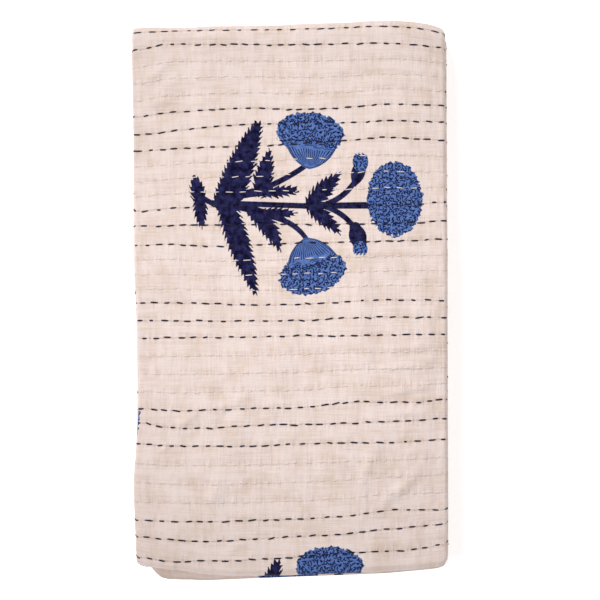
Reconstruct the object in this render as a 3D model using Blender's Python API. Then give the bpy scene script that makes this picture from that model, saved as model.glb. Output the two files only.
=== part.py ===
"""A stitched cotton bedspread, folded for the shelf.

The cloth is one sheet. It is folded in half three times across its width, which makes a narrow strip of
eight layers, and the strip is folded in half twice along its length. The sheet is made flat and each of its
points is then carried to its place in the folds. Metres, +Z up, resting on z = 0, with the long side along Y.
"""

import math
from collections import namedtuple

import bmesh
import bpy

# The cloth: two layers of thin cotton, stitched together all over.
CLOTH = 0.0010
AIR = 0.00045
PITCH = CLOTH + AIR

# The folded bundle, seen from above.
WIDTH = 0.3270
LENGTH = 0.5720
WIDTH_FOLDINGS = 3
LENGTH_FOLDINGS = 2
STRIP_AIR = 0.0008

# A bend is pressed flatter than a half circle: its reach over its half height.
WIDTH_BEND_FLATNESS = 0.68
LENGTH_BEND_FLATNESS = 0.55

# Rows of points that the flat runs hold between their ends, and steps round a bend.
WIDTH_KNOTS = (-0.148, -0.110, 0.0, 0.110, 0.148)
LENGTH_KNOTS = (-0.190, -0.105, 0.030, 0.170)
WIDTH_BEND_STEPS = 4
LENGTH_BEND_STEPS = 5

# How far each end of the sheet stops short of the bundle's left side.
FREE_END_INSET = (0.0030, 0.0075)

# The inner bend at the far end stops short of the one that wraps it.
INNER_BEND_INSET = 0.0030

# Each run of the strip, in the order of the cloth: the sideways slip of its far and near ends, how far its
# left side is drawn in at its near end, and how much of the waist its sides have.
Run = namedtuple("Run", "far_slip near_slip left_in waist")
RUNS = (
    Run(-0.0010, 0.0000, 0.0150, 0.10),
    Run(0.0000, 0.0000, 0.0000, 1.00),
    Run(0.0006, -0.0002, 0.0012, 0.60),
    Run(0.0006, 0.0014, 0.0024, 0.40),
)
CROOKED_FROM = 0.45

# The left side is drawn in to a waist, and the right side leans out a little: where down the length, from
# the far end, and how far in each side comes there.
Side = namedtuple("Side", "down left_in right_in")
SIDES = (
    Side(0.000, 0.0000, 0.0030),
    Side(0.202, 0.0010, 0.0026),
    Side(0.447, 0.0034, 0.0010),
    Side(0.684, 0.0068, 0.0008),
    Side(0.833, 0.0020, 0.0000),
    Side(1.000, 0.0040, 0.0004),
)

# The ends aren't straight, and their corners are drawn in. At each place across the width: how far out the
# far fold comes, the near fold of the top runs, and the near hems of the lowest run and of the one above it.
End = namedtuple("End", "across far fold low_hem high_hem")
ENDS = (
    End(-0.16350, -0.0070, -0.0145, -0.0125, -0.0120),
    End(-0.16168, -0.0045, -0.0110, -0.0070, -0.0085),
    End(-0.14800, -0.0012, -0.0076, 0.0055, -0.0060),
    End(-0.11000, -0.0016, -0.0020, 0.0082, -0.0040),
    End(0.00000, 0.0008, 0.0008, -0.0020, -0.0045),
    End(0.11000, 0.0046, -0.0036, -0.0080, -0.0085),
    End(0.14800, 0.0000, -0.0072, -0.0110, -0.0115),
    End(0.15971, -0.0038, -0.0095, -0.0135, -0.0140),
    End(0.16350, -0.0080, -0.0145, -0.0185, -0.0190),
)
ENDS_FROM = 0.170
NEAR_COLUMNS = (2, 1, 1, 3)

# The layers lie closer together near the edges: distance from the middle, and share of height lost.
Dip = namedtuple("Dip", "distance lost")
WIDTH_DIPS = (Dip(0.0, 0.0), Dip(0.110, 0.012), Dip(0.170, 0.075))
LENGTH_DIPS = (Dip(0.060, 0.0), Dip(0.170, 0.012), Dip(0.300, 0.090))

# One place along a folded section: a point of the sheet's middle, and the way its thickness points there.
Station = namedtuple("Station", "along height ray_along ray_height run")


def folded_order(foldings):
    """The layer that each run of the cloth lies in, in the order of the cloth, after so many foldings in half."""
    layers = [0]
    for _ in range(foldings):
        top = 2 * len(layers) - 1
        halves = []
        for run, layer in enumerate(layers):
            pair = [layer, top - layer]
            halves += pair if run % 2 == 0 else pair[::-1]
        layers = halves
    return layers


def bend(run, centre, height, following, flatness, steps):
    """The places round the bend that joins a run to the one that follows it."""
    out = 1 if run % 2 == 0 else -1
    middle = (height + following) / 2
    radius = abs(following - height) / 2
    side = 1 if height > middle else -1
    places = []
    for step in range(1, steps):
        turn = math.pi * step / steps
        reach = flatness * out * math.sin(turn)
        rise = side * math.cos(turn)
        swell = out * side
        places.append(
            Station(
                centre + radius * reach,
                middle + radius * rise,
                swell * reach,
                swell * rise,
                run + step / steps,
            )
        )
    return places


def folded_section(heights, ends, knots, flatness, steps):
    """The places along a cloth that runs over and back. ends has the first free end, each bend's centre in
    turn and the last free end."""
    places = []
    for run, height in enumerate(heights):
        way = 1 if run % 2 == 0 else -1
        for along in (ends[run], *knots[::way], ends[run + 1]):
            places.append(Station(along, height, 0.0, float(way), run))
        if run + 1 < len(heights):
            places += bend(run, ends[run + 1], height, heights[run + 1], flatness, steps)
    return places


def width_section():
    """Across the bundle: eight layers, with the last fold at the right side and the sheet's two edges inside
    at the left. The heights are from the middle of the strip, and the layer that shows is its lowest."""
    layers = folded_order(WIDTH_FOLDINGS)
    middle = (len(layers) - 1) / 2
    heights = [(middle - layer) * PITCH for layer in layers]
    wrap = WIDTH_BEND_FLATNESS * (middle * PITCH + CLOTH / 2)
    right = WIDTH / 2 - wrap
    left = -WIDTH / 2 + WIDTH_BEND_FLATNESS * (1.5 * PITCH + CLOTH / 2)
    first, last = (-WIDTH / 2 + inset for inset in FREE_END_INSET)
    ends = (first, right, left, right, left, right, left, right, last)
    return folded_section(heights, ends, WIDTH_KNOTS, WIDTH_BEND_FLATNESS, WIDTH_BEND_STEPS)


def strip_pitch():
    """From one run of the eight-layer strip to the next above it."""
    return 2**WIDTH_FOLDINGS * PITCH + STRIP_AIR


def length_section():
    """Along the bundle: four runs of the strip, with the last fold at the far end."""
    layers = folded_order(LENGTH_FOLDINGS)
    lowest = (2**WIDTH_FOLDINGS * PITCH - AIR) / 2
    heights = [lowest + layer * strip_pitch() for layer in layers]
    half_strip = lowest
    wrap = LENGTH_BEND_FLATNESS * (1.5 * strip_pitch() + half_strip)
    turned = LENGTH_BEND_FLATNESS * (0.5 * strip_pitch() + half_strip)
    far = LENGTH / 2 - wrap
    ends = (-LENGTH / 2, far, -LENGTH / 2 + turned, far - INNER_BEND_INSET, -LENGTH / 2)
    return folded_section(
        heights, ends, LENGTH_KNOTS, LENGTH_BEND_FLATNESS, LENGTH_BEND_STEPS
    )


def read_off(table, at):
    """The last columns of a table at a place given in its first, straight between its rows."""
    for low, high in zip(table, table[1:]):
        if at <= high[0] or high is table[-1]:
            share = min(1.0, max(0.0, (at - low[0]) / (high[0] - low[0])))
            return [a + share * (b - a) for a, b in zip(low[1:], high[1:])]


def run_values(place):
    """The columns of RUNS at a place along the strip, passing smoothly from run to run round a bend."""
    first = min(int(place), len(RUNS) - 1)
    second = min(first + 1, len(RUNS) - 1)
    share = place - first
    return Run(*(a + share * (b - a) for a, b in zip(RUNS[first], RUNS[second])))


def settled(x, y, z, place):
    """Carries a point of the neat bundle to where the loosely folded cloth really lies."""
    run = run_values(place)
    across = x / WIDTH
    down = 0.5 - y / LENGTH
    far, *near = read_off(ENDS, x)
    share = max(0.0, abs(y) - ENDS_FROM) / (LENGTH / 2 - ENDS_FROM)
    out = far if y > 0 else -near[NEAR_COLUMNS[round(place)] - 1]
    left_in, right_in = read_off(SIDES, down)
    left_in = run.waist * left_in + run.left_in * max(0.0, down - CROOKED_FROM) / (1 - CROOKED_FROM)
    slip = run.far_slip * (1 - down) + run.near_slip * down
    x += slip + left_in * (0.5 - across) - run.waist * right_in * (0.5 + across)
    y += share * out
    (lost_across,) = read_off(WIDTH_DIPS, abs(x))
    (lost_along,) = read_off(LENGTH_DIPS, abs(y))
    return x, y, z * (1 - lost_across - lost_along)


def folded_point(column, row, offset):
    """The place in the bundle of a point of the sheet, offset from the sheet's middle by so much."""
    x = column.along + column.ray_along * offset
    depth = column.height + column.ray_height * offset
    y = row.along + row.ray_along * depth
    z = row.height + row.ray_height * depth
    return settled(x, y, z, row.run)


def middle_of(values):
    """Halfway between the lowest and the highest of some numbers."""
    return (min(values) + max(values)) / 2


def cotton():
    """Undyed cotton."""
    material = bpy.data.materials.new("cotton")
    material.use_nodes = True
    surface = material.node_tree.nodes["Principled BSDF"]
    surface.inputs["Base Color"].default_value = (0.80, 0.71, 0.65, 1.0)
    surface.inputs["Roughness"].default_value = 0.9
    surface.inputs["Metallic"].default_value = 0.0
    return material


def bedspread():
    """The sheet, laid flat as a thin slab and then folded."""
    columns = width_section()
    rows = length_section()
    mesh = bpy.data.meshes.new("bedspread")
    sheet = bmesh.new()
    bmesh.ops.create_grid(
        sheet, x_segments=len(columns) - 1, y_segments=len(rows) - 1, size=0.5
    )
    bmesh.ops.recalc_face_normals(sheet, faces=sheet.faces)
    bmesh.ops.solidify(sheet, geom=sheet.faces[:], thickness=CLOTH)
    middle = middle_of([v.co.z for v in sheet.verts])
    for v in sheet.verts:
        column = columns[round((v.co.x + 0.5) * (len(columns) - 1))]
        row = rows[round((v.co.y + 0.5) * (len(rows) - 1))]
        v.co = folded_point(column, row, v.co.z - middle)
    centre_x = middle_of([v.co.x for v in sheet.verts])
    centre_y = middle_of([v.co.y for v in sheet.verts])
    bmesh.ops.translate(sheet, vec=(-centre_x, -centre_y, 0.0), verts=sheet.verts)
    bmesh.ops.recalc_face_normals(sheet, faces=sheet.faces)
    bmesh.ops.triangulate(sheet, faces=sheet.faces[:])
    sheet.to_mesh(mesh)
    sheet.free()
    mesh.materials.append(cotton())
    mesh.shade_smooth()
    mesh.set_sharp_from_angle(angle=math.radians(50))
    return bpy.data.objects.new("bedspread", mesh)


def main():
    for old in list(bpy.data.objects):
        bpy.data.objects.remove(old)
    bundle = bpy.data.collections.new("folded bedspread")
    bpy.context.scene.collection.children.link(bundle)
    bundle.objects.link(bedspread())


main()
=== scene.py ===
"""Looks of the folded, hand-stitched bedspread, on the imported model's frame."""

import math
import random
from bisect import bisect
from collections import namedtuple

import bmesh
import bpy
from mathutils import Matrix, Vector, noise


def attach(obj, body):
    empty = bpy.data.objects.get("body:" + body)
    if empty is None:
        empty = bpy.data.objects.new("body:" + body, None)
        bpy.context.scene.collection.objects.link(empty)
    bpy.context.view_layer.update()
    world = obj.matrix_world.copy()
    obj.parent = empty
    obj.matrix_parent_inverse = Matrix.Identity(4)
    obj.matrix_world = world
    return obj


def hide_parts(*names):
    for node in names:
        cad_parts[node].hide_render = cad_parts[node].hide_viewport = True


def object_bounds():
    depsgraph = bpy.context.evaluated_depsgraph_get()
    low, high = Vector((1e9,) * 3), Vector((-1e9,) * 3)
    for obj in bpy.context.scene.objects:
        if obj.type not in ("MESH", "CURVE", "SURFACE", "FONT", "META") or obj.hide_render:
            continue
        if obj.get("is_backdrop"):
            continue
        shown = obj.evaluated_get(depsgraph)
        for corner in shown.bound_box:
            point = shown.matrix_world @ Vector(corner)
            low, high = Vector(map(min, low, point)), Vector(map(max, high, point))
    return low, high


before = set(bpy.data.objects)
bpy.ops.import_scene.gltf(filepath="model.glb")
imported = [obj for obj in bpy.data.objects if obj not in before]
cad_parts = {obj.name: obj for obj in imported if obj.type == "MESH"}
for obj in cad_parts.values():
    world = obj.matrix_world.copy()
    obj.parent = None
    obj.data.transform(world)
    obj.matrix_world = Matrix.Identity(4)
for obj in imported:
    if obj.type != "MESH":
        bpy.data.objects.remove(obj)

cad_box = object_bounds()
bpy.ops.object.select_all(action="DESELECT")
scene = bpy.context.scene

# THE FOLDS. The bedspread is one sheet of two thin cottons, stitched together all over. It is folded in
# half three times across its width, into a strip of eight layers, and the strip twice along its length.
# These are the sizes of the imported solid's folds, so the cloth made here lies where that solid does.

# In metres: the cloth, the air over each layer, and the bundle before it settles.
CLOTH = 0.0010
AIR = 0.00045
PITCH = CLOTH + AIR
WIDTH = 0.3270
LENGTH = 0.5720
STRIP_LAYERS = 8
STRIP_AIR = 0.0008
STRIP_PITCH = STRIP_LAYERS * PITCH + STRIP_AIR

# A bend is pressed flatter than a half circle: its reach over its half height.
ACROSS_FLATNESS = 0.68
ALONG_FLATNESS = 0.55

# Each run of the strip, in the order of the cloth: the slip of its far and near ends, how far its left
# side is drawn in at its near end, and how much of the waist its sides have.
Run = namedtuple("Run", "far_slip near_slip left_in waist")
RUNS = (
    Run(-0.0010, 0.0000, 0.0150, 0.10),
    Run(0.0000, 0.0000, 0.0000, 1.00),
    Run(0.0006, -0.0002, 0.0012, 0.60),
    Run(0.0006, 0.0014, 0.0024, 0.40),
)
# The share of the length from which a run's left side is drawn in.
CROOKED_FROM = 0.45

# The waist at the left side and the lean of the right one, by how far down the length they are.
Side = namedtuple("Side", "down left_in right_in")
SIDES = (
    Side(0.000, 0.0000, 0.0030),
    Side(0.202, 0.0010, 0.0026),
    Side(0.447, 0.0034, 0.0010),
    Side(0.684, 0.0068, 0.0008),
    Side(0.833, 0.0020, 0.0000),
    Side(1.000, 0.0040, 0.0004),
)

# How far out the ends come at each place across the width: the far fold, the near fold of the top runs,
# and the near hems of the lowest run and of the one above it.
End = namedtuple("End", "across far fold low_hem high_hem")
ENDS = (
    End(-0.16350, -0.0070, -0.0145, -0.0125, -0.0120),
    End(-0.16168, -0.0045, -0.0110, -0.0070, -0.0085),
    End(-0.14800, -0.0036, -0.0076, 0.0055, -0.0060),
    End(-0.11000, -0.0038, -0.0030, 0.0082, -0.0040),
    End(-0.08500, -0.0030, 0.0002, 0.0074, -0.0042),
    End(0.00000, -0.0008, 0.0008, 0.0042, -0.0045),
    End(0.11000, 0.0032, -0.0036, 0.0000, -0.0085),
    End(0.14800, -0.0010, -0.0072, -0.0038, -0.0115),
    End(0.15971, -0.0048, -0.0095, -0.0066, -0.0140),
    End(0.16350, -0.0085, -0.0145, -0.0118, -0.0190),
)
# How far from the middle the ends start to move, and which near column each run takes: 0 is the fold.
ENDS_FROM = 0.170
NEAR_COLUMNS = (1, 0, 0, 2)

# The layers lie closer together near the edges: distance from the middle, and share of height lost.
Dip = namedtuple("Dip", "distance lost")
ACROSS_DIPS = (Dip(0.0, 0.0), Dip(0.110, 0.012), Dip(0.170, 0.075))
ALONG_DIPS = (Dip(0.0, 0.0), Dip(0.060, 0.0), Dip(0.170, 0.012), Dip(0.300, 0.090))

# A flat run or a bend of a folded section: where it starts and ends along the cloth, its run, its
# heights at both, and its places in the bundle at both.
Span = namedtuple("Span", "start end run height following begin finish")

# Where a point of a section lies: its place across, its height, which way its thickness points, sideways
# and up, and its run, counted on round each bend.
Station = namedtuple("Station", "place height sideways up run")


def is_bend(span):
    """Whether a span is a bend. A flat run keeps its height."""
    return span.height != span.following


def spans_of(heights, ends, flatness):
    """The flat runs and bends of a section in order."""
    spans, reached = [], 0.0
    for run, height in enumerate(heights):
        length = abs(ends[run + 1] - ends[run])
        spans.append(Span(reached, reached + length, run, height, height, ends[run], ends[run + 1]))
        reached += length
        if run + 1 < len(heights):
            length = math.pi * abs(heights[run + 1] - height) / 2 * (1 + flatness) / 2
            end = ends[run + 1]
            spans.append(Span(reached, reached + length, run, height, heights[run + 1], end, end))
            reached += length
    return spans


def station(spans, flatness, at):
    """The station of a point so far along the cloth."""
    span = spans[min(bisect([s.end for s in spans], at - 1e-9), len(spans) - 1)]
    share = (at - span.start) / (span.end - span.start)
    out = 1 if span.run % 2 == 0 else -1
    if not is_bend(span):
        place = span.begin + share * (span.finish - span.begin)
        return Station(place, span.height, 0.0, out, span.run)
    middle = (span.height + span.following) / 2
    radius = abs(span.following - span.height) / 2
    side = 1 if span.height > middle else -1
    reach = flatness * out * math.sin(math.pi * share)
    rise = side * math.cos(math.pi * share)
    swell = out * side
    place = span.begin + radius * reach
    return Station(place, middle + radius * rise, swell * reach, swell * rise, span.run + share)


def eased(table, at):
    """The last columns of a table at a place given in its first, on a smooth curve through its rows."""
    last = len(table) - 1
    low = min(max(bisect([row[0] for row in table], at) - 1, 0), last - 1)
    near, far = table[low], table[low + 1]
    step = far[0] - near[0]
    share = min(1.0, max(0.0, (at - near[0]) / step))
    before, after = table[max(low - 1, 0)], table[min(low + 2, last)]
    values = []
    for column in range(1, len(near)):
        a, b = near[column], far[column]
        slope_a = (b - before[column]) / (far[0] - before[0]) * step
        slope_b = (after[column] - a) / (after[0] - near[0]) * step
        rest = 1 - share
        values.append(
            a * rest**2 * (1 + 2 * share)
            + b * share**2 * (1 + 2 * rest)
            + slope_a * share * rest**2
            - slope_b * share**2 * rest
        )
    return values


# Across the strip: the layers that the cloth takes in turn, from hem to hem, and where its runs end.
ACROSS_ORDER = (0, 7, 4, 3, 2, 5, 6, 1)
MIDDLE_LAYER = (STRIP_LAYERS - 1) / 2
ACROSS_HEIGHTS = [(MIDDLE_LAYER - layer) * PITCH for layer in ACROSS_ORDER]
RIGHT = WIDTH / 2 - ACROSS_FLATNESS * (MIDDLE_LAYER * PITCH + CLOTH / 2)
LEFT = -WIDTH / 2 + ACROSS_FLATNESS * (1.5 * PITCH + CLOTH / 2)
FIRST_HEM, LAST_HEM = -0.1605, -0.1560
ACROSS_ENDS = (FIRST_HEM, RIGHT, LEFT, RIGHT, LEFT, RIGHT, LEFT, RIGHT, LAST_HEM)
across_spans = spans_of(ACROSS_HEIGHTS, ACROSS_ENDS, ACROSS_FLATNESS)

# Along the bundle: the levels that the strip takes in turn, from its lowest end, and where its runs end.
ALONG_ORDER = (0, 3, 2, 1)
INNER_BEND_INSET = 0.0030
LOWEST = (STRIP_LAYERS * PITCH - AIR) / 2
ALONG_HEIGHTS = [LOWEST + level * STRIP_PITCH for level in ALONG_ORDER]
FAR = LENGTH / 2 - ALONG_FLATNESS * (1.5 * STRIP_PITCH + LOWEST)
NEAR = -LENGTH / 2 + ALONG_FLATNESS * (0.5 * STRIP_PITCH + LOWEST)
ALONG_ENDS = (-LENGTH / 2, FAR, NEAR, FAR - INNER_BEND_INSET, -LENGTH / 2)
along_spans = spans_of(ALONG_HEIGHTS, ALONG_ENDS, ALONG_FLATNESS)

# The sheet opened flat. The top layer is the second run both ways, and its middle is the origin of the
# cloth's own flat coordinates.
FLAT_WIDTH = across_spans[-1].end
FLAT_LENGTH = along_spans[-1].end
top_across = across_spans[2]
wrap, top_along, front_fold = along_spans[1:4]
TOP_X = top_across.start + top_across.begin
TOP_Y = top_along.start + top_along.begin


def settling(x, y, place):
    """How far a point of the neat bundle moves sideways and lengthways, as the loose cloth lies, and the
    share of its height that it loses."""
    first = min(int(place), 3)
    second = min(first + 1, 3)
    run = Run(*(a + (place - first) * (b - a) for a, b in zip(RUNS[first], RUNS[second])))
    across, down = x / WIDTH, 0.5 - y / LENGTH
    far, *near = eased(ENDS, x)
    share = max(0.0, abs(y) - ENDS_FROM) / (LENGTH / 2 - ENDS_FROM)
    out = far if y > 0 else -near[NEAR_COLUMNS[round(place)]]
    left_in, right_in = eased(SIDES, down)
    left_in = run.waist * left_in + run.left_in * max(0.0, down - CROOKED_FROM) / (1 - CROOKED_FROM)
    slip = run.far_slip * (1 - down) + run.near_slip * down
    shift = slip + left_in * (0.5 - across) - run.waist * right_in * (0.5 + across)
    lost = eased(ACROSS_DIPS, abs(x + shift))[0] + eased(ALONG_DIPS, abs(y + share * out))[0]
    return shift, share * out, lost


across_seen, along_seen = {}, {}


def station_at(seen, spans, flatness, origin, flat):
    """The station of a flat coordinate, worked out once for each place."""
    key = round(flat, 6)
    if key not in seen:
        seen[key] = station(spans, flatness, origin - flat)
    return seen[key]


def folded(x, y, offset):
    """Where a point of the flat cloth lies in the bundle. Its offset is how far it is from the middle of
    the cloth's thickness."""
    column = station_at(across_seen, across_spans, ACROSS_FLATNESS, TOP_X, x)
    row = station_at(along_seen, along_spans, ALONG_FLATNESS, TOP_Y, y)
    depth = column.height + column.up * offset
    px = column.place + column.sideways * offset
    py = row.place + row.sideways * depth
    pz = row.height + row.up * depth
    shift_x, shift_y, lost = settling(px, py, row.run)
    return Vector((px + shift_x, py + shift_y, pz * (1 - lost)))


# THE ROWS OF STITCHES. They run across the bundle, every 17.4 mm, in sets of three dark rows and three
# pale ones, and they wander as hand sewing does.

ROW_STEP = 0.0174
FIRST_ROW = 0.3017
ROWS_IN_SET = 6
DARK_ROWS = (0, 1, 2)
# A share of a set that is past its dark rows and before its pale ones.
DARK_SHARE = 0.45

# How far each dark row of the top layer lies off its even place, in millimetres, at nine places across.
# Rows 0 and 33 lie just round the folds at its ends.
ROW_PLACES = (-0.155, -0.130, -0.090, -0.040, 0.010, 0.060, 0.100, 0.130, 0.155)
WANDER = {
    0: (0.8, 2.5, 3.7, 3.6, 3.5, 5.6, 6.6, 5.1, 1.6),
    1: (-7.7, -6.0, -4.8, -4.9, -5.0, -2.9, -1.9, -3.4, -6.9),
    2: (-9.4, -4.3, -4.0, -4.1, -4.3, -3.4, -2.6, -4.3, -6.9),
    6: (-9.5, -5.7, -2.7, -0.5, -1.7, 0.1, 4.1, 3.4, 2.7),
    7: (-10.4, -7.9, -3.3, 0.5, 1.2, 2.1, 3.8, 3.5, 3.2),
    8: (-10.4, -8.2, -6.5, -4.9, -2.3, 0.8, 4.1, 2.8, 1.6),
    12: (-2.5, 0.2, 1.8, 2.5, 3.1, 3.8, 4.3, 4.7, 6.5),
    13: (-0.4, -0.1, 0.4, 0.8, 1.2, 1.7, 2.5, 3.2, 5.3),
    14: (-3.1, -1.9, -3.9, -2.7, -0.3, 0.2, 1.4, 2.3, 3.1),
    18: (6.9, 7.2, 6.3, 4.8, 5.5, 8.6, 10.3, 9.9, 9.6),
    19: (6.0, 5.9, 5.7, 5.8, 6.5, 8.8, 9.8, 9.7, 9.6),
    20: (5.2, 5.7, 6.4, 6.6, 7.9, 7.8, 8.5, 9.6, 9.6),
    24: (2.1, 0.3, 0.8, 2.4, 3.5, 8.7, 9.2, 9.2, 11.5),
    25: (4.7, 0.2, -0.6, 2.5, 3.4, 4.6, 6.3, 7.6, 9.5),
    26: (0.4, -1.6, -1.9, -1.6, 0.6, 1.8, 1.6, 3.4, 5.3),
    30: (-9.0, -9.7, -10.4, -8.9, -7.7, -4.0, 1.4, 1.7, 2.1),
    31: (-8.7, -11.2, -13.6, -10.9, -8.3, -5.2, -0.8, 2.2, 4.5),
    32: (-13.0, -16.5, -16.1, -14.9, -11.6, -7.5, -5.9, -4.6, 0.4),
    33: (-19.5, -23.0, -22.6, -21.4, -18.1, -14.0, -12.4, -11.1, -6.0),
}
wander_rows = sorted(WANDER)


def wander(number, x):
    """How far a row lies off its even place, in metres. Pale rows share what is between dark ones."""
    high = wander_rows[min(bisect(wander_rows, number), len(wander_rows) - 1)]
    low = wander_rows[max(bisect(wander_rows, number) - 1, 0)]
    share = 0.0 if high == low else min(1.0, max(0.0, (number - low) / (high - low)))
    table = [(at, a + share * (b - a)) for at, a, b in zip(ROW_PLACES, WANDER[low], WANDER[high])]
    return eased(table, x)[0] / 1000


def settled_y(x, y):
    """How far the top layer moves lengthways as it settles, at a flat point of it or past its ends."""
    inside_x = min(RIGHT, max(LEFT, x))
    inside_y = min(top_along.begin, max(top_along.finish, y))
    return settling(inside_x, inside_y, 1)[1]


def row_line(number, x):
    """The flat y of a row at x."""
    y = FIRST_ROW - ROW_STEP * number + wander(number, x)
    return y - settled_y(x, y - settled_y(x, y))


def row_number(x, y):
    """The row that a flat point lies on, with its fraction of the way to the next."""
    y += settled_y(x, y)
    guess = (FIRST_ROW - y) / ROW_STEP
    for _ in range(4):
        guess = (FIRST_ROW + wander(guess, x) - y) / ROW_STEP
    return guess


# THE PRINT. Flower plants lying on their sides, printed by hand with carved blocks: a navy block for the
# leaves, the stems and the lines in the flowers, and a blue one for the flowers. It is in millimetres.


class Worked:
    """A number that a node puts out. Sums on it add the nodes that work them out."""

    def __init__(self, socket):
        self.socket = socket

    def step(self, operation, *others, clamp=False):
        """What one more node works out from this number and others."""
        node = self.socket.id_data.nodes.new("ShaderNodeMath")
        node.operation, node.use_clamp = operation, clamp
        for socket, value in zip(node.inputs, (self, *others)):
            feed(socket, value)
        return Worked(node.outputs[0])

    def __add__(self, other):
        return self.step("ADD", other)

    def __sub__(self, other):
        return self.step("SUBTRACT", other)

    def __rsub__(self, other):
        return self.step("MULTIPLY_ADD", -1.0, other)

    def __mul__(self, other):
        return self.step("MULTIPLY", other)

    def __truediv__(self, other):
        return self.step("DIVIDE", other)

    __radd__, __rmul__ = __add__, __mul__

    def mask(self, soft):
        """1 where the number is above zero and 0 where it is below, with a soft edge so wide."""
        return self.step("MULTIPLY_ADD", 1 / soft, 0.5, clamp=True)

    def band(self, middle, half, soft):
        """1 where the number is near a middle, 0 elsewhere."""
        return (half - (self - middle).step("ABSOLUTE")).mask(soft)

    def clipped(self, most):
        """The number, kept from 0 to a most."""
        return self.step("MAXIMUM", 0.0).step("MINIMUM", most)


def feed(socket, value):
    """Gives a socket a fixed value, or the number that another node puts out."""
    if isinstance(value, Worked):
        socket.id_data.links.new(value.socket, socket)
    else:
        socket.default_value = value


def new_group(name, takes, gives):
    """A shader node group: itself, the numbers that it takes, and the sockets for what it gives."""
    group = bpy.data.node_groups.new(name, "ShaderNodeTree")
    for way, titles in (("INPUT", takes), ("OUTPUT", gives)):
        for title in titles:
            group.interface.new_socket(title, in_out=way, socket_type="NodeSocketFloat")
    taken = group.nodes.new("NodeGroupInput").outputs
    given = group.nodes.new("NodeGroupOutput").inputs
    return group, [Worked(taken[title]) for title in takes], given


def placed(tree, group, values):
    """A group put in a tree with its values, and the numbers that it gives."""
    node = tree.nodes.new("ShaderNodeGroup")
    node.node_tree = group
    for socket, value in zip(node.inputs, values):
        feed(socket, value)
    return [Worked(socket) for socket in node.outputs]


def texture_at(x, y, kind, settings, values, output):
    """A texture at the place that two numbers give."""
    nodes = x.socket.id_data.nodes
    joined = nodes.new("ShaderNodeCombineXYZ")
    feed(joined.inputs["X"], x)
    feed(joined.inputs["Y"], y)
    node = nodes.new(kind)
    for name, value in settings.items():
        setattr(node, name, value)
    x.socket.id_data.links.new(joined.outputs[0], node.inputs["Vector"])
    for name, value in values.items():
        node.inputs[name].default_value = value
    return Worked(node.outputs[output])


FLAT_NOISE = {"noise_dimensions": "2D"}
FLAT_CELLS = {"voronoi_dimensions": "2D", "feature": "F1"}


def noise_at(x, y, scale, detail=1.0):
    """Soft noise, from 0 to 1 with its middle at 0.5."""
    values = {"Scale": scale, "Detail": detail, "Roughness": 0.6}
    return texture_at(x, y, "ShaderNodeTexNoise", FLAT_NOISE, values, 0)


STROKE_TAKES = (
    "X", "Y", "Rough", "Foot X", "Foot Y", "Tip X", "Tip Y", "Foot", "Tip", "Belly", "Bow", "Teeth"
)
# The teeth of a leaf: how far apart they are, how far they lean to its tip, how far one side's are ahead
# of the other's, and how uneven they are.
TOOTH_STEP = 6.1
TOOTH_LEAN = 0.50
TOOTH_AHEAD = 0.43
TOOTH_UNEVEN = 0.9


def stroke_group(name, toothed):
    """A stroke of the block from foot to tip, bowed and swelling in its middle: how far inside it a
    point is. A leaf has teeth that point to its tip."""
    group, numbers, given = new_group(name, STROKE_TAKES, ("Inside",))
    x, y, rough, foot_x, foot_y, tip_x, tip_y, foot, tip, belly, bow, teeth = numbers
    run_x, run_y = tip_x - foot_x, tip_y - foot_y
    length = (run_x * run_x + run_y * run_y).step("SQRT")
    way_x, way_y = run_x / length, run_y / length
    x, y = x - foot_x, y - foot_y
    along = x * way_x + y * way_y
    off = y * way_x - x * way_y
    share = along.step("DIVIDE", length, clamp=True)
    swell = share * (1.0 - share) * 4.0
    off = off - bow * swell
    width = foot + (tip - foot) * share + belly * swell
    if toothed:
        lean = along - off.step("ABSOLUTE") * TOOTH_LEAN
        turn = lean / TOOTH_STEP + off.step("GREATER_THAN", 0.0) * TOOTH_AHEAD + rough * TOOTH_UNEVEN
        width = width - teeth * (1.0 - turn.step("FRACT")) * (rough + 0.5)
    past = along - share * length
    feed(given["Inside"], width - (past * past + off * off).step("SQRT"))
    return group


leaf_group, stem_group = stroke_group("printed leaf", True), stroke_group("printed stem", False)

# Each stroke of a plant, from the joint above its roots: where its foot and tip are, its half width at
# both, how much it swells between them, how far it bows to its left, and how deep its teeth are.
STROKE_PARTS = "foot_x foot_y tip_x tip_y foot tip belly bow teeth"
Stroke = namedtuple("Stroke", STROKE_PARTS, defaults=(0.0, 0.0, 0.0))
LEAVES = [Stroke(*row) for row in (
    (-12.0, 2.0, -16.0, 25.5, 6.8, 3.2, 3.8, 0.0, 3.0),
    (-11.5, 3.0, -10.0, -26.0, 6.8, 2.2, 3.6, 0.0, 3.0),
    (16.0, 1.0, 48.5, 77.0, 15.2, 6.8, 4.4, 0.0, 3.6),
    (15.0, -2.0, 44.0, -91.0, 11.0, 4.4, 5.2, 0.0, 3.8),
    (51.5, 13.0, 61.0, 53.0, 10.2, 2.6, 3.8, 0.0, 3.6),
    (50.0, 9.2, 86.0, 12.0, 4.4, 5.4, 2.6, 0.0, 3.6),
    (44.0, -9.0, 70.5, -50.5, 8.8, 2.0, 5.0, 3.4, 3.8),
    (58.0, -11.5, 87.0, -11.5, 6.2, 2.4, 2.4, 0.0, 3.0),
    (104.5, 1.0, 132.0, 29.0, 9.4, 3.4, 4.4, 0.0, 4.2),
    (104.0, -5.0, 132.5, -32.5, 8.6, 2.2, 3.8, 0.0, 3.8),
)]
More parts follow.
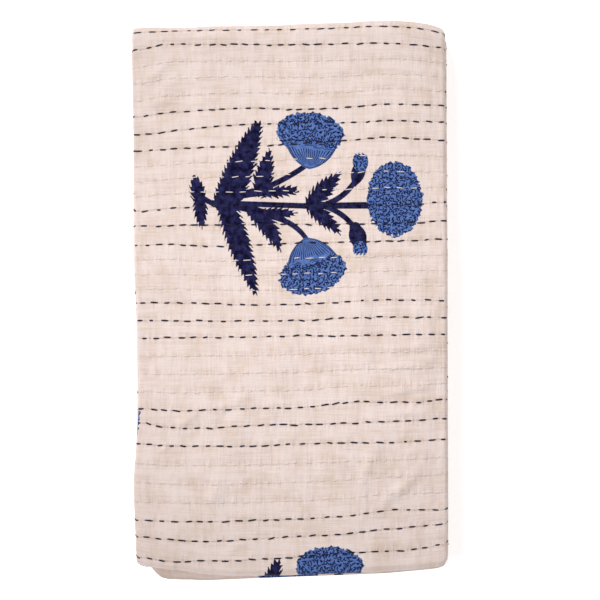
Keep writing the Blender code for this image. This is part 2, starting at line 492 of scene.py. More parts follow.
STEMS = [Stroke(*row) for row in (
    (-10.0, 4.5, 0.0, -0.5, 3.4, 2.6),
    (0.0, -0.6, 95.0, -3.8, 2.7, 2.9),
    (95.0, -3.8, 166.0, -3.2, 3.0, 3.5),
    (8.0, 0.0, 54.0, 10.5, 3.6, 4.6, 0.0, 2.0),
    (58.0, 15.5, 99.0, 38.0, 2.9, 2.7, 0.0, -1.4),
    (14.0, -4.0, 48.0, -10.0, 3.0, 4.0, 0.0, 1.5),
    (40.0, -10.4, 76.0, -10.6, 3.6, 3.0),
    (58.0, -14.5, 99.5, -40.5, 2.9, 2.6, 0.0, 6.0),
    (119.0, -1.5, 147.0, 20.0, 3.0, 2.8, 0.0, -3.0),
    (118.0, -5.0, 144.5, -23.0, 2.8, 2.8, 0.0, 2.4),
    (147.5, 18.0, 152.0, 32.0, 2.4, 7.0, 1.6),
    (147.5, -26.0, 151.5, -40.5, 6.0, 7.6, 2.2),
)]
# The short lines cut in the petals: how far apart, how wide and how long they are.
TICK_STEP = 3.3
TICK_WIDTH = 1.2
TICK_LENGTH = 4.0


def ticks_at(x, y):
    """The short lines cut in a flower's petals: one in each small cell, turned at random."""
    tree = x.socket.id_data
    scale = {"Scale": 1 / TICK_STEP}
    cell = texture_at(x, y, "ShaderNodeTexVoronoi", FLAT_CELLS, scale, "Position")
    spot = tree.nodes.new("ShaderNodeSeparateXYZ")
    tree.links.new(cell.socket, spot.inputs[0])
    chance = tree.nodes.new("ShaderNodeSeparateXYZ")
    tree.links.new(cell.socket.node.outputs["Color"], chance.inputs[0])
    dx, dy = x - Worked(spot.outputs["X"]), y - Worked(spot.outputs["Y"])
    turn = Worked(chance.outputs["X"]) * math.pi
    cos, sin = turn.step("COSINE"), turn.step("SINE")
    along, off = dx * cos + dy * sin, dy * cos - dx * sin
    thick = TICK_WIDTH / 2 * (1.0 - along * along / (TICK_LENGTH / 2) ** 2)
    return (thick - off.step("ABSOLUTE")).mask(0.35)


def ellipse(across, out, middle, half):
    """How far inside an ellipse a point is, nearly."""
    a, b = (across - middle[0]) / half[0], (out - middle[1]) / half[1]
    return (1.0 - (a * a + b * b).step("SQRT")) * min(half)


# How soft the edge of the printed ink is, and how far apart the tips of the petals are.
INK_EDGE = 0.5
PETAL_STEP = 4.0

# A side flower about the middle of its seam: its ruff and its base as ellipses (the middle, then the
# half width and half height), how high the base goes and how it tapers, how its seam bows, where the
# lines of its base fan out from, and how many there are to a radian.
RUFF = ((0.0, 8.5), (34.8, 21.5))
BASE = ((2.5, 2.5), (27.5, 30.0))
BASE_TOP = 12.0
BASE_TAPER = 0.0065
SEAM_BOW = 0.0050
FAN_FOOT = (2.5, -36.0)
FAN_LINES = 12.0


def side_flower_group():
    """A flower seen from its side: a round base with fanned lines, and a ruff of petals over it."""
    takes = ("X", "Y", "Petals", "Breaks", "Middle X", "Middle Y", "Turn", "Face")
    group, numbers, given = new_group("printed side flower", takes, ("Inside", "Ruff", "Lines"))
    x, y, petals, breaks, middle_x, middle_y, turn, face = numbers
    cos, sin = turn.step("COSINE"), turn.step("SINE")
    x, y = x - middle_x, y - middle_y
    across, out = x * cos + y * sin, (y * cos - x * sin) * face
    edge = out + SEAM_BOW * across * across + (breaks - 0.5) * 6.0 - 1.5
    ruff = ellipse(across, out, *RUFF) + (petals - 0.45) * 3.2
    base = ellipse(across, out, *BASE)
    below, beside = (out - BASE[0][1]).step("MINIMUM", 0.0), (across - BASE[0][0]).step("ABSOLUTE")
    base = (base + below * beside * BASE_TAPER).step("MINIMUM", BASE_TOP - out)
    feed(given["Inside"], ruff.step("MAXIMUM", base))
    feed(given["Ruff"], (edge + 3.5).mask(0.8))
    fan = (across - FAN_FOOT[0]).step("ARCTAN2", out - FAN_FOOT[1]) * FAN_LINES + breaks
    line = fan.step("FRACT").band(0.5, 0.17, 0.16)
    line = line * (out + 19.0 + breaks * 8.0).mask(1.0) * (-4.0 - out - breaks * 6.0).mask(1.0)
    rim = base.band(1.1, 0.35, 0.6)
    second = (edge + 4.5).band(0.0, 0.35, 0.6) * (breaks - 0.45).mask(0.1)
    lines = line.step("MAXIMUM", rim).step("MAXIMUM", second) * (0.0 - edge).mask(0.8)
    seam = edge.band(0.0, 0.55, 0.7) * (breaks - 0.30).mask(0.1)
    feed(given["Lines"], lines.step("MAXIMUM", seam))
    return group


side_flower = side_flower_group()
# A side flower: the middle of its seam, its turn, and which way it faces.
SIDE_FLOWERS = ((101.3, 61.0, -0.10, 1.0), (100.8, -63.2, 0.27, -1.0))
# The flower seen from its front: its middle, and its half width and half height.
ROUND_FLOWER = ((188.4, 3.1), (28.5, 37.7))
# A bud's tip: its middle, its half width and half height, and which way it points.
BUD_TIPS = (((153.8, 41.0), (8.0, 10.5), 1.0), ((152.3, -47.4), (7.6, 8.0), -1.0))
# The teeth at the foot of a bud's tip: how far apart and how deep they are, and how far in they start.
BUD_TOOTH_STEP = 3.7
BUD_TOOTH = 3.0
BUD_FOOT = 1.0
# The short lines are drawn twice, one lot over the other: the second lot's scale and its start.
SECOND_TICKS = 0.92
SECOND_START = (41.0, 17.0)
# The ink starts from a number that is well outside every stroke.
NO_INK = 9.0


def plant_group():
    """One printed plant, as the masks of its leaves, its flowers, and the lines over its flowers."""
    group, (x, y), given = new_group("printed plant", ("X", "Y"), ("Leaves", "Flowers", "Lines"))
    rough = noise_at(x, y, 0.21)
    edges = (noise_at(x, y, 0.9) - 0.5) * 0.9
    navy = edges - NO_INK
    for kind, strokes in ((leaf_group, LEAVES), (stem_group, STEMS)):
        for stroke in strokes:
            inside = placed(group, kind, (x, y, rough, *stroke))[0]
            navy = navy.step("MAXIMUM", inside + edges * (1.0 if stroke.teeth else 0.5))
    shift_x = x + (noise_at(x, y, 0.33) - 0.5) * 2.4
    scale = {"Scale": 1 / PETAL_STEP}
    petals = texture_at(shift_x, y, "ShaderNodeTexVoronoi", FLAT_CELLS, scale, "Distance")
    breaks = noise_at(x, y, 0.12)
    second_x, second_y = x * SECOND_TICKS + SECOND_START[0], y * SECOND_TICKS + SECOND_START[1]
    ticks = ticks_at(x, y).step("MAXIMUM", ticks_at(second_x, second_y))
    blue, lines = edges - NO_INK, ticks
    for flower in SIDE_FLOWERS:
        inside, ruff, drawn = placed(group, side_flower, (x, y, petals, breaks, *flower))
        own = inside.mask(INK_EDGE)
        lines = lines * (1.0 - own) + own * (ruff * ticks).step("MAXIMUM", drawn)
        blue = blue.step("MAXIMUM", inside)
    blue = blue.step("MAXIMUM", ellipse(x, y, *ROUND_FLOWER) + (petals - 0.45) * 3.8)
    for middle, half, face in BUD_TIPS:
        tip = ellipse(x, y, middle, half)
        jag = (x / BUD_TOOTH_STEP).step("FRACT") * BUD_TOOTH
        jag = jag + (y - middle[1]) * face - half[1] + BUD_FOOT
        blue = blue.step("MAXIMUM", tip.step("MINIMUM", 0.0 - jag))
    blue = blue.mask(INK_EDGE)
    feed(given["Leaves"], navy.mask(INK_EDGE))
    feed(given["Flowers"], blue)
    feed(given["Lines"], blue * lines)
    return group


plant = plant_group()


# THE CLOTH. Thin undyed cotton, cream, washed soft. It is made flat, as a thin slab on a grid that is
# closer where the cloth shows, raised where it puckers and creases, and then laid in its folds.

# The grid's steps in metres: in bends, at both ends of a flat run, and in the rest of a run that shows
# or is hidden. Where the cloth shows, each step is then cut again.
BEND_STEP = 0.0045
FEWEST_BEND_STEPS = 6
RUN_ENDS = (0.006, 0.014)
SHOWN_STEP = 0.0205
HIDDEN_STEP = 0.045
SHOWN_CUTS = 8
UNDER_CUTS = 3


def grid_lines(spans, origin, shown_run):
    """The flat coordinates of the grid's lines, in rising order."""
    lines = [0.0]
    for span in spans:
        length = span.end - span.start
        if is_bend(span):
            steps = max(FEWEST_BEND_STEPS, round(length / BEND_STEP))
            lines += [span.start + length * step / steps for step in range(1, steps + 1)]
            continue
        inside = length - 2 * RUN_ENDS[1]
        steps = round(inside / (SHOWN_STEP if span.run == shown_run else HIDDEN_STEP))
        lines += [span.start + end for end in RUN_ENDS]
        lines += [span.start + RUN_ENDS[1] + inside / steps * step for step in range(1, steps + 1)]
        lines += [span.end - RUN_ENDS[0], span.end]
    return sorted(origin - line for line in lines)


# A crease in the top layer: where its middle is, how long it is, its direction in degrees, how wide its
# slope is, and how high it stands. The first ones are sharp ridges, each put in its own place.
Crease = namedtuple("Crease", "x y length turn width height")
CREASES = [Crease(*row) for row in (
    (-0.138, 0.236, 0.040, 42, 0.0045, 0.0020),
    (-0.126, 0.222, 0.030, 30, 0.0040, 0.0014),
    (-0.108, 0.228, 0.036, -12, 0.0040, 0.0013),
    (-0.140, 0.203, 0.050, 24, 0.0060, 0.0018),
    (-0.065, -0.107, 0.070, 20, 0.0055, 0.0019),
    (-0.111, -0.125, 0.050, 42, 0.0060, 0.0022),
    (-0.143, -0.103, 0.030, -12, 0.0035, 0.0012),
    (-0.132, -0.154, 0.022, 34, 0.0032, 0.0017),
    (-0.082, -0.203, 0.044, 67, 0.0070, 0.0018),
    (-0.057, -0.256, 0.034, 28, 0.0045, 0.0018),
    (0.020, -0.066, 0.110, -50, 0.0090, 0.0014),
    (0.060, 0.236, 0.060, 2, 0.0060, 0.0013),
    (0.128, -0.050, 0.070, 4, 0.0040, 0.0020),
    (0.118, -0.070, 0.080, 5, 0.0045, 0.0018),
    (0.118, -0.095, 0.070, 12, 0.0040, 0.0020),
    (0.126, -0.117, 0.050, 2, 0.0040, 0.0014),
    (0.128, -0.109, 0.026, 56, 0.0032, 0.0016),
    (0.120, -0.134, 0.028, 80, 0.0045, 0.0014),
    (0.081, -0.171, 0.048, 77, 0.0060, 0.0023),
    (0.098, -0.212, 0.034, 75, 0.0055, 0.0018),
    (0.117, -0.194, 0.060, 42, 0.0060, 0.0028),
    (0.108, -0.185, 0.018, 39, 0.0030, 0.0012),
)]
# The rest are soft crumples all over, raised or sunk, most of them nearly along the threads.
CRUMPLES = 90
crumpling = random.Random(11)
for _ in range(CRUMPLES):
    CREASES.append(Crease(
        x=crumpling.uniform(-0.155, 0.155),
        y=crumpling.uniform(-0.28, 0.28),
        length=crumpling.uniform(0.025, 0.080),
        turn=crumpling.choice((0, 0, 90)) + crumpling.gauss(0, 14),
        width=crumpling.uniform(0.0035, 0.0060),
        height=crumpling.choice((-1, 1)) * crumpling.uniform(0.0003, 0.0007),
    ))
# The waves of the loose cloth: how high they are, how many there are to a metre across and down, and the
# level of the noise that they are taken at.
WAVES = (
    (0.00085, 62, 16, 4.0), (0.00130, 21, 12, 9.0), (0.00040, 150, 60, 2.0), (0.00055, 11, 95, 7.0)
)
# How far the cloth sinks along a row of stitches, how wide that hollow is, and the deepest it may sink.
ROW_SINK = 0.00034
ROW_HOLLOW = 0.0032
DEEPEST = -0.0009


def crease_height(crease, x, y):
    """What one crease adds at a point of the top layer."""
    turn = math.radians(crease.turn)
    dx, dy = x - crease.x, y - crease.y
    along = (dx * math.cos(turn) + dy * math.sin(turn)) / (crease.length / 2)
    across = (dy * math.cos(turn) - dx * math.sin(turn)) / crease.width
    if abs(along) >= 1 or abs(across) > 3:
        return 0.0
    return crease.height * (1 - along * along) ** 1.5 * math.exp(-across * across)


def relief(x, y):
    """How far the face of the top or lowest layer stands off its even place: it sinks along the rows of
    stitches, waves down its length, and creases."""
    number = row_number(x, y)
    off = (number - round(number)) * ROW_STEP
    height = -ROW_SINK * math.exp(-((off / ROW_HOLLOW) ** 2))
    height += sum(
        size * noise.noise(Vector((x * across, y * down, level))) for size, across, down, level in WAVES
    )
    return max(DEEPEST, height + sum(crease_height(crease, x, y) for crease in CREASES))


# Stretches of the flat cloth that show: the top layer with the folds at its sides and ends, the same
# without them, and the lowest run.
top_low, top_high = TOP_X - across_spans[3].end, TOP_X - across_spans[1].start
top_flat = (TOP_X - top_across.end, TOP_X - top_across.start)
top_rows = (TOP_Y - front_fold.end, TOP_Y - wrap.start)
top_flat_rows = (TOP_Y - top_along.end, TOP_Y - top_along.start)
under_rows = (TOP_Y - along_spans[0].end, TOP_Y - along_spans[0].start)


def within(value, limits):
    """Whether a flat coordinate lies between two others, or on one of them."""
    return limits[0] - 1e-6 <= value <= limits[1] + 1e-6


def face_edges(sheet, rows, flat_rows):
    """The face side's edges in a zone, without those that run round its bends."""
    chosen = []
    for edge in sheet.edges:
        a, b = (v.co for v in edge.verts)
        if abs(a.x - b.x) > abs(a.y - b.y):
            flat = all(within(p.x, top_flat) for p in (a, b))
        else:
            flat = all(within(p.y, flat_rows) for p in (a, b))
        inside = all(within(p.x, (top_low, top_high)) and within(p.y, rows) for p in (a, b))
        if flat and inside and min(a.z, b.z) > 0:
            chosen.append(edge)
    return chosen


lines_x = grid_lines(across_spans, TOP_X, top_across.run)
lines_y = grid_lines(along_spans, TOP_Y, top_along.run)
sheet = bmesh.new()
bmesh.ops.create_grid(sheet, x_segments=len(lines_x) - 1, y_segments=len(lines_y) - 1, size=0.5)
bmesh.ops.solidify(sheet, geom=sheet.faces[:], thickness=CLOTH)
upper = max(v.co.z for v in sheet.verts)
for v in sheet.verts:
    v.co.x = lines_x[round((v.co.x + 0.5) * (len(lines_x) - 1))]
    v.co.y = lines_y[round((v.co.y + 0.5) * (len(lines_y) - 1))]
    v.co.z = CLOTH / 2 if v.co.z > upper - CLOTH / 2 else -CLOTH / 2
bmesh.ops.recalc_face_normals(sheet, faces=sheet.faces)
zones = ((top_rows, top_flat_rows, SHOWN_CUTS), (under_rows, under_rows, UNDER_CUTS))
for rows, flat_rows, cuts in zones:
    edges = face_edges(sheet, rows, flat_rows)
    bmesh.ops.subdivide_edges(sheet, edges=edges, cuts=cuts, use_grid_fill=True)
bmesh.ops.triangulate(sheet, faces=[f for f in sheet.faces if len(f.verts) > 4])

# The first UV map is the cloth's own flat coordinates. The second gives the way along the rows of
# stitches and the row. The third, for the baked image, gives most of it to the layer that shows.
cloth_map = sheet.loops.layers.uv.new("Cloth")
rows_map = sheet.loops.layers.uv.new("Rows")
bake_map = sheet.loops.layers.uv.new("OFBake")


def stretched(value, marks, shares):
    """A flat coordinate as a place in the baked image, with its share for each stretch of the cloth."""
    at = min(max(bisect(marks, value) - 1, 0), len(shares) - 2)
    part = (value - marks[at]) / (marks[at + 1] - marks[at])
    return shares[at] + part * (shares[at + 1] - shares[at])


# Where the stretches of the cloth meet, and their places in the baked image. The back of the cloth has a
# narrow part of it, and the side and end hems have a strip each.
BAKE_X = (TOP_X - FLAT_WIDTH, top_low, top_high, TOP_X)
BAKE_Y = (TOP_Y - FLAT_LENGTH, top_rows[0], top_rows[1], TOP_Y)
SHARES_X = (0.003, 0.090, 0.840, 0.870)
SHARES_Y = (0.003, 0.060, 0.880, 0.990)
BACK_START = 0.88
BACK_SHARE = 0.1
SIDE_HEM_STRIP, END_HEM_STRIP = 0.981, 0.991
HEM_STRETCH = 3
for face in sheet.faces:
    heights = [v.co.z for v in face.verts]
    rim = max(heights) - min(heights) > CLOTH / 2
    for loop in face.loops:
        x, y, z = loop.vert.co
        loop[cloth_map].uv = (x, y)
        bake_x, bake_y = stretched(x, BAKE_X, SHARES_X), stretched(y, BAKE_Y, SHARES_Y)
        if rim and abs(face.normal.x) > abs(face.normal.y):
            loop[bake_map].uv = (SIDE_HEM_STRIP + HEM_STRETCH * z, bake_y)
        elif rim:
            loop[bake_map].uv = (END_HEM_STRIP + HEM_STRETCH * z, bake_x)
        elif z > 0:
            loop[bake_map].uv = (bake_x, bake_y)
        else:
            loop[bake_map].uv = (BACK_START + BACK_SHARE * bake_x, bake_y)
sheet.verts.index_update()
rows_of = [row_number(v.co.x, v.co.y) for v in sheet.verts]
for face in sheet.faces:
    for loop in face.loops:
        loop[rows_map].uv = (loop.vert.co.x, rows_of[loop.vert.index])


def surface_height(x, y):
    """How far the cloth's face stands off its even place at a flat point. Where the bundle rests on it,
    it only sinks, and inside the bundle it lies even."""
    if not within(x, (top_low, top_high)) or y < TOP_Y - front_fold.end:
        return 0.0
    height = relief(x, y)
    return height if y < top_rows[1] else min(0.0, height) / 2


for v in sheet.verts:
    x, y, z = v.co
    if z > 0:
        z += surface_height(x, y)
    v.co = folded(x, y, z)
mesh = bpy.data.meshes.new("bedspread cloth")
sheet.to_mesh(mesh)
sheet.free()
cloth = bpy.data.objects.new("bedspread_cloth", mesh)
scene.collection.objects.link(cloth)
# The bundle is centred over the origin, and nothing of it reaches below the floor.
places = [[v.co[i] for v in mesh.vertices] for i in range(2)]
centring = Matrix.Translation((*(-(min(line) + max(line)) / 2 for line in places), 0.0))
mesh.transform(centring)
for v in mesh.vertices:
    v.co.z = max(0.0, v.co.z)
mesh.shade_smooth()

# The plants stand in a brick pattern, in millimetres: where one is, how far off the next to its right
# and the next above it are, how far every other one is out of line and turned, how large they are, and
# where the cell of each starts from it.
FIRST_PLANT = (-82.9, 99.7)
NEXT_RIGHT = (322.5, 241.0)
NEXT_UP = 456.0
OUT_OF_LINE = 23.5
ODD_TURN = 0.07
PLANT_SIZE = 1.02
CELL_CORNER = (-48.0, -190.0)


def plants_at(x, y):
    """The masks of whichever printed plant lies at a flat point."""
    x, y = x - FIRST_PLANT[0], y - FIRST_PLANT[1]
    column = ((x - CELL_CORNER[0]) / NEXT_RIGHT[0]).step("FLOOR")
    x, y = x - column * NEXT_RIGHT[0], y - column * NEXT_RIGHT[1]
    row = ((y - CELL_CORNER[1]) / NEXT_UP).step("FLOOR")
    odd = ((column + row) * 0.5).step("FRACT") * 2.0
    x, y = x - odd * OUT_OF_LINE, y - row * NEXT_UP
    x, y = x + y * odd * ODD_TURN, y - x * odd * ODD_TURN
    return placed(x.socket.id_data, plant, (x / PLANT_SIZE, y / PLANT_SIZE))


# In millimetres: half a wave of the weave, and how far from a row of stitches the cloth is puckered.
WEAVE_STEP = 0.42
PUCKER_REACH = 5.0


def streaks_at(x, y, across, down, rough=0.65):
    """Soft noise drawn out one way, as threads and puckers are."""
    values = {"Scale": 1.0, "Detail": 2.0, "Roughness": rough}
    return texture_at(x * across, y * down, "ShaderNodeTexNoise", FLAT_NOISE, values, 0) - 0.5


def cotton_group():
    """Plain-woven cotton with slubs both ways, washed and puckered: its height in millimetres, how tan
    it is, with painted shade in the pucker hollows and along the rows, and where the sewing thread shows
    through it from below, with a painted shadow line under each pale seam."""
    takes, gives = ("X", "Y", "Row"), ("Height", "Tan", "Through and shadow")
    group, (x, y, row), given = new_group("woven cotton", takes, gives)
    weave = (x * (math.pi / WEAVE_STEP)).step("SINE") * (y * (math.pi / WEAVE_STEP)).step("SINE")
    across, down = streaks_at(x, y, 0.028, 0.60), streaks_at(x, y, 0.60, 0.022)
    wide_across, wide_down = streaks_at(x, y, 0.015, 0.16), streaks_at(x, y, 0.13, 0.012)
    pucker = streaks_at(x, y, 0.22, 0.045, 0.55)
    nearest = row.step("ROUND")
    off = (row - nearest) * (ROW_STEP * 1000)
    near = (off * off * (1 / PUCKER_REACH**2) + 1.0).step("POWER", -1.0)
    turn = nearest / ROWS_IN_SET
    dark = (turn - turn.step("FLOOR")).step("LESS_THAN", DARK_SHARE)
    seam = (1.0 - dark) * (streaks_at(x, y, 0.022, 0.012) + 0.16).mask(0.28)
    height = weave * 0.012 + across * 0.42 + down * 0.18 + wide_across * 0.7 + pucker * near * 1.4
    feed(given["Height"], height + off.band(-0.30, 0.30, 0.9) * seam * 0.22)
    patch = noise_at(x, y, 0.036, 3.0) - 0.5
    tan_and_shade = patch * 2.4 + across * 1.3 + down * 0.35 + wide_across * 1.1 + wide_down * 0.5
    # Painted shade: the cloth is darker in the hollows of the puckers and along the sunk rows of
    # stitches.
    tan_and_shade = tan_and_shade - pucker * near * 2.4 + near * 0.20
    feed(given["Tan"], (tan_and_shade + 0.25).clipped(1.2))
    dots = (dark * 0.9 + 0.1) * off.band(0.0, 0.55, 1.0) * (noise_at(x, y, 0.30) - 0.42).mask(0.30)
    # Painted shadow: a thin dark line on the near side of each pale seam's ridge, besides the dots of
    # thread that show through.
    feed(given["Through and shadow"], dots.step("MAXIMUM", off.band(0.80, 0.30, 0.9) * seam * 0.30))
    return group


def uv_numbers(tree, name, scale=1.0):
    """The two numbers of a UV map."""
    uv = tree.nodes.new("ShaderNodeUVMap")
    uv.uv_map = name
    parts = tree.nodes.new("ShaderNodeSeparateXYZ")
    tree.links.new(uv.outputs[0], parts.inputs[0])
    return Worked(parts.outputs["X"]) * scale, Worked(parts.outputs["Y"]) * scale


# A mix node has sockets of every kind, and these are the places of its colours.
FIRST_COLOUR, SECOND_COLOUR, MIXED_COLOUR = 6, 7, 2


def mixed(tree, share, first, second):
    """A mix of two colours, each a fixed one or a node's."""
    node = tree.nodes.new("ShaderNodeMix")
    node.data_type = "RGBA"
    feed(node.inputs["Factor"], share)
    for place, colour in ((FIRST_COLOUR, first), (SECOND_COLOUR, second)):
        if isinstance(colour, bpy.types.NodeSocket):
            tree.links.new(colour, node.inputs[place])
        else:
            node.inputs[place].default_value = (*colour, 1.0)
    return node.outputs[MIXED_COLOUR]


def matt_material(name, roughness, gloss):
    """A new material of plain cotton: itself, its node tree and its shader."""
    material = bpy.data.materials.new(name)
    material.use_nodes = True
    surface = material.node_tree.nodes["Principled BSDF"]
    surface.inputs["Roughness"].default_value = roughness
    surface.inputs["Specular IOR Level"].default_value = gloss
    return material, material.node_tree, surface


def finish(tree, surface, colour, height):
    """Gives a shader its colour, and its bumps from a height in millimetres."""
    tree.links.new(colour, surface.inputs["Base Color"])
    bump = tree.nodes.new("ShaderNodeBump")
    bump.inputs["Distance"].default_value = 0.001
    feed(bump.inputs["Height"], height)
    tree.links.new(bump.outputs[0], surface.inputs["Normal"])


# The cotton's own tan, also used as painted shade in its puckers and along its rows, and the thread seen
# through it, also used as a painted shadow under the pale seams.
CREAM, TAN_AND_SHADE, THROUGH_AND_SHADOW = (0.80, 0.672, 0.632), (0.69, 0.545, 0.462), (0.36, 0.25, 0.21)
NAVY, WORN_NAVY = (0.0033, 0.0022, 0.018), (0.025, 0.025, 0.100)
BLUE, DEEP_BLUE, LINE = (0.115, 0.195, 0.47), (0.076, 0.140, 0.39), (0.006, 0.009, 0.042)
MOST_TAN_AND_SHADE, MOST_THROUGH_AND_SHADOW = 0.75, 0.55
cotton, tree, surface = matt_material("printed cream cotton", roughness=0.92, gloss=0.08)
surface.inputs["Sheen Weight"].default_value = 0.03
surface.inputs["Sheen Roughness"].default_value = 0.5
x, y = uv_numbers(tree, "Cloth", 1000.0)
row = uv_numbers(tree, "Rows")[1]
height, tan_and_shade, through_and_shadow = placed(tree, cotton_group(), (x, y, row))
ink = noise_at(x, y, 0.16, 3.0)
leaves, flowers, lines = plants_at(x, y)
# The cotton's own tan, with painted shade in the pucker hollows and along the rows.
colour = mixed(tree, tan_and_shade * MOST_TAN_AND_SHADE, CREAM, TAN_AND_SHADE)
# The thread that shows through, and a painted shadow line under each pale seam.
colour = mixed(tree, through_and_shadow * MOST_THROUGH_AND_SHADOW, colour, THROUGH_AND_SHADOW)
colour = mixed(tree, leaves, colour, mixed(tree, (ink - 0.53).mask(0.35), NAVY, WORN_NAVY))
colour = mixed(tree, flowers, colour, mixed(tree, (ink - 0.5).mask(0.3), BLUE, DEEP_BLUE))
colour = mixed(tree, lines, colour, LINE)
finish(tree, surface, colour, height)
mesh.materials.append(cotton)
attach(cloth, "root")
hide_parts("bedspread")


# THE STITCHES. Running stitches of thick cotton thread, sewn by hand through both layers: three rows in
# near black, then three in cream. Each one rises from the cloth, lies on it and dips back in.

# In metres: from one stitch to the next, how long they are, how much both differ, how far stitches lie
# off their row, and how much they lean.
STITCH_STEP = 0.0132
STEP_SPREAD = 0.0014
STITCH_LENGTH = 0.0074
LENGTH_SPREAD = 0.0014
SHORTEST, LONGEST = 0.0036, 0.0096
OFF_ROW = 0.00032
LEAN_SPREAD = 0.09
# The slope of a row is taken so far to each side of a stitch.
SLOPE_REACH = 0.003
# A stitch's width, half its thickness, how much thicker it is at its ends, how far those dip, and the
# lowest that it may lie.
STITCH_WIDTHS = {"dark": 0.00165, "pale": 0.00100}
STITCH_RISE = 0.00045
END_SWELL = 0.35
END_DIP = 1.4
LOWEST_THREAD = 0.00005

bpy.ops.mesh.primitive_uv_sphere_add(segments=6, ring_count=6, radius=1.0, rotation=(0, math.pi / 2, 0))
pattern = bpy.context.object
bpy.ops.object.transform_apply(location=False, rotation=True, scale=False)
pattern_points = [v.co.copy() for v in pattern.data.vertices]
pattern_faces = [tuple(face.vertices) for face in pattern.data.polygons]
bpy.data.objects.remove(pattern)


def shares_round(face):
    """How far round the thread each corner of a face is, from 0 to 1, or a little past at the seam."""
    corners = [pattern_points[i] for i in face]
    middle = sum(corners, Vector())
    at = math.atan2(middle.z, middle.y)
    turns = [at if abs(p.x) > 0.999 else math.atan2(p.z, p.y) for p in corners]
    return [(at + (turn - at + math.pi) % math.tau) / math.tau for turn in turns]


# Each corner of each face of the pattern, as its places along and round the thread.
pattern_corners = [
    (pattern_points[i].x, share)
    for face in pattern_faces for i, share in zip(face, shares_round(face))
]

sewing = random.Random(7)


def stitches_along(number, low, high):
    """The stitches of one row between two places across: the middle, length and lean of each."""
    place = low + sewing.uniform(0.1, 0.9) * STITCH_STEP
    while place < high:
        length = min(LONGEST, max(SHORTEST, sewing.gauss(STITCH_LENGTH, LENGTH_SPREAD)))
        y = row_line(number, place) + sewing.gauss(0.0, OFF_ROW)
        before, after = (row_line(number, place + reach) for reach in (-SLOPE_REACH, SLOPE_REACH))
        yield place, y, length, (after - before) / (2 * SLOPE_REACH) + sewing.gauss(0.0, LEAN_SPREAD)
        place += STITCH_STEP + sewing.gauss(0.0, STEP_SPREAD)


def sew(points, faces, corners, width, x, y, length, lean):
    """Adds one stitch, laid on the flat cloth and folded with it."""
    ground = CLOTH / 2 + surface_height(x, y)
    first = len(points)
    for p in pattern_points:
        thick = 1.0 + END_SWELL * p.x * p.x
        at_x = x + p.x * length / 2
        at_y = y + p.y * thick * width / 2 + lean * (at_x - x)
        rise = STITCH_RISE * (1 - END_DIP * p.x**4) + p.z * thick * STITCH_RISE
        point = centring @ folded(at_x, at_y, ground + rise)
        point.z = max(point.z, LOWEST_THREAD)
        points.append(point)
    faces += [tuple(first + i for i in face) for face in pattern_faces]
    corners += [(1000 * (x + at * length / 2), share) for at, share in pattern_corners]


# Where stitches show: on the top and bottom layers with the folds at their sides, on the other side
# folds, and at the end of the lowest run, where it comes out from under the others.
RUN_OUT = 0.040
HEM_CLEAR = 0.003
all_rows = (TOP_Y - FLAT_LENGTH, TOP_Y)
shown_parts = [
    ((top_low, top_high), (TOP_Y - front_fold.end, TOP_Y)),
    *(((TOP_X - span.end, TOP_X - span.start), all_rows) for span in across_spans[3:] if is_bend(span)),
    ((top_low, top_high), (all_rows[0], TOP_Y - front_fold.end)),
    ((top_high, TOP_X), (TOP_Y - RUN_OUT, TOP_Y)),
]
sewn = {"dark": ([], [], []), "pale": ([], [], [])}
for across, rows in shown_parts:
    first, last = (round(row_number(0.0, y)) for y in reversed(rows))
    for number in range(first, last + 1):
        colour = "dark" if number % ROWS_IN_SET in DARK_ROWS else "pale"
        for x, y, length, lean in stitches_along(number, *across):
            if rows[0] + HEM_CLEAR < y < rows[1] - HEM_CLEAR:
                sew(*sewn[colour], STITCH_WIDTHS[colour], x, y, length, lean)

# How far along the thread its plies take to come round, in millimetres.
PLY_STEP = 1.1


def thread_group():
    """Two-ply thread, from places in millimetres along it and shares of the way round it: its height in
    millimetres, and how faded it is."""
    takes, gives = ("Along", "Around"), ("Height", "Faded")
    group, (along, around), given = new_group("two-ply thread", takes, gives)
    ply = ((along / PLY_STEP + around) * math.tau).step("SINE")
    hairs = noise_at(along * 1.2, around * 3.0, 1.0, 2.0) - 0.5
    feed(given["Height"], ply * 0.06 + hairs * 0.12)
    feed(given["Faded"], (ply * 0.16 + hairs * 2.2 + 0.35).clipped(1.0))
    return group


thread_look = thread_group()
# The colours of each thread: fresh, and faded.
THREAD_COLOURS = {
    "dark": ((0.0055, 0.0042, 0.016), (0.036, 0.031, 0.062)),
    "pale": ((0.85, 0.755, 0.715), (0.76, 0.655, 0.60)),
}
for colour, (points, faces, corners) in sewn.items():
    stitch_mesh = bpy.data.meshes.new(colour + " stitches")
    stitch_mesh.from_pydata(points, [], faces)
    stitch_mesh.shade_smooth()
    # The first UV map runs along each stitch and round it. The second, for the baked image, has a cell
    # for each stitch, with a margin.
    thread_map, cell_map = (stitch_mesh.uv_layers.new(name=name) for name in ("Thread", "OFBake"))
    thread_map.uv.foreach_set("vector", [value for corner in corners for value in corner])
    count = len(points) // len(pattern_points)
    cells = math.ceil(math.sqrt(count))
    places = []
    for at in range(count):
        for along, share in pattern_corners:
            places.append((at % cells + 0.5 + 0.4 * along) / cells)
            places.append((at // cells + 0.1 + 0.8 * share) / cells)
    cell_map.uv.foreach_set("vector", places)
    thread = bpy.data.objects.new(colour + "_stitches", stitch_mesh)
    scene.collection.objects.link(thread)
    twist, tree, surface = matt_material(colour + " thread", roughness=0.8, gloss=0.2)
    height, faded = placed(tree, thread_look, uv_numbers(tree, "Thread"))
    finish(tree, surface, mixed(tree, faded, *THREAD_COLOURS[colour]), height)
    stitch_mesh.materials.append(twist)
    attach(thread, "root")


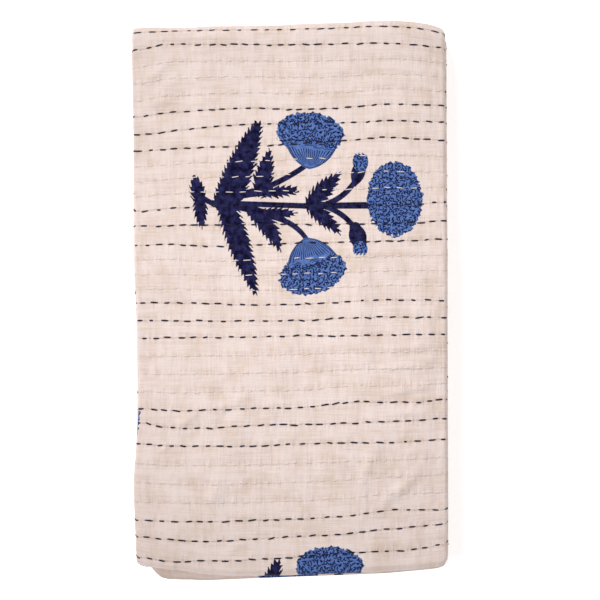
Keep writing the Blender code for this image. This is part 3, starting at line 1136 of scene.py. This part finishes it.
# THE ROOM. A plain pale floor and soft studio light: a key from the far end, low enough to show the
# creases, and a fill from the left. The camera looks straight down, as in the photograph.

WHITE = (1.0, 1.0, 1.0, 1.0)
FLOOR_PAINT = (0.92, 0.92, 0.92, 1.0)
# The floor glows a little, so that it comes out as white as the photograph's ground.
FLOOR_GLOW = 0.50
SKY_STRENGTH = 0.50
# Each light: its name, its place and its power in watts. They share a size, a cone and an aim.
LIGHTS = (("key light", (-0.79, 2.11, 1.76), 163), ("fill light", (-1.42, -0.65, 2.30), 148))
LIGHT_SIZE = 0.35
LIGHT_CONE = 0.44
LIGHT_AIM = Vector((0.05, 0.025, 0.03))

bpy.ops.mesh.primitive_plane_add(size=6.0)
floor = bpy.context.object
floor.name = "floor"
floor_paint = bpy.data.materials.new("pale floor")
floor_paint.use_nodes = True
paint = floor_paint.node_tree.nodes["Principled BSDF"]
paint.inputs["Base Color"].default_value = FLOOR_PAINT
paint.inputs["Roughness"].default_value = 1.0
paint.inputs["Emission Color"].default_value = WHITE
paint.inputs["Emission Strength"].default_value = FLOOR_GLOW
floor.data.materials.append(floor_paint)
floor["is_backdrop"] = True

world = bpy.data.worlds.new("studio")
world.use_nodes = True
sky = world.node_tree.nodes["Background"]
sky.inputs["Color"].default_value = WHITE
sky.inputs["Strength"].default_value = SKY_STRENGTH
scene.world = world

for name, place, power in LIGHTS:
    bpy.ops.object.light_add(type="SPOT", location=place)
    light = bpy.context.object
    light.name = name
    light.data.energy = power
    light.data.shadow_soft_size = LIGHT_SIZE
    light.data.spot_size = LIGHT_CONE
    light.data.spot_blend = 1.0
    light.rotation_euler = (LIGHT_AIM - light.location).to_track_quat("-Z", "Y").to_euler()

CAMERA_HEIGHT = 3.4483
bpy.ops.object.camera_add(location=(0.0100, 0.0010, CAMERA_HEIGHT), rotation=(0, 0, 0))
camera = bpy.context.object
camera.data.lens = 197.5
camera.data.sensor_width = 36
scene.camera = camera
scene.view_settings.view_transform = "Standard"

sizes = [[list(corner) for corner in box] for box in (cad_box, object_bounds())]
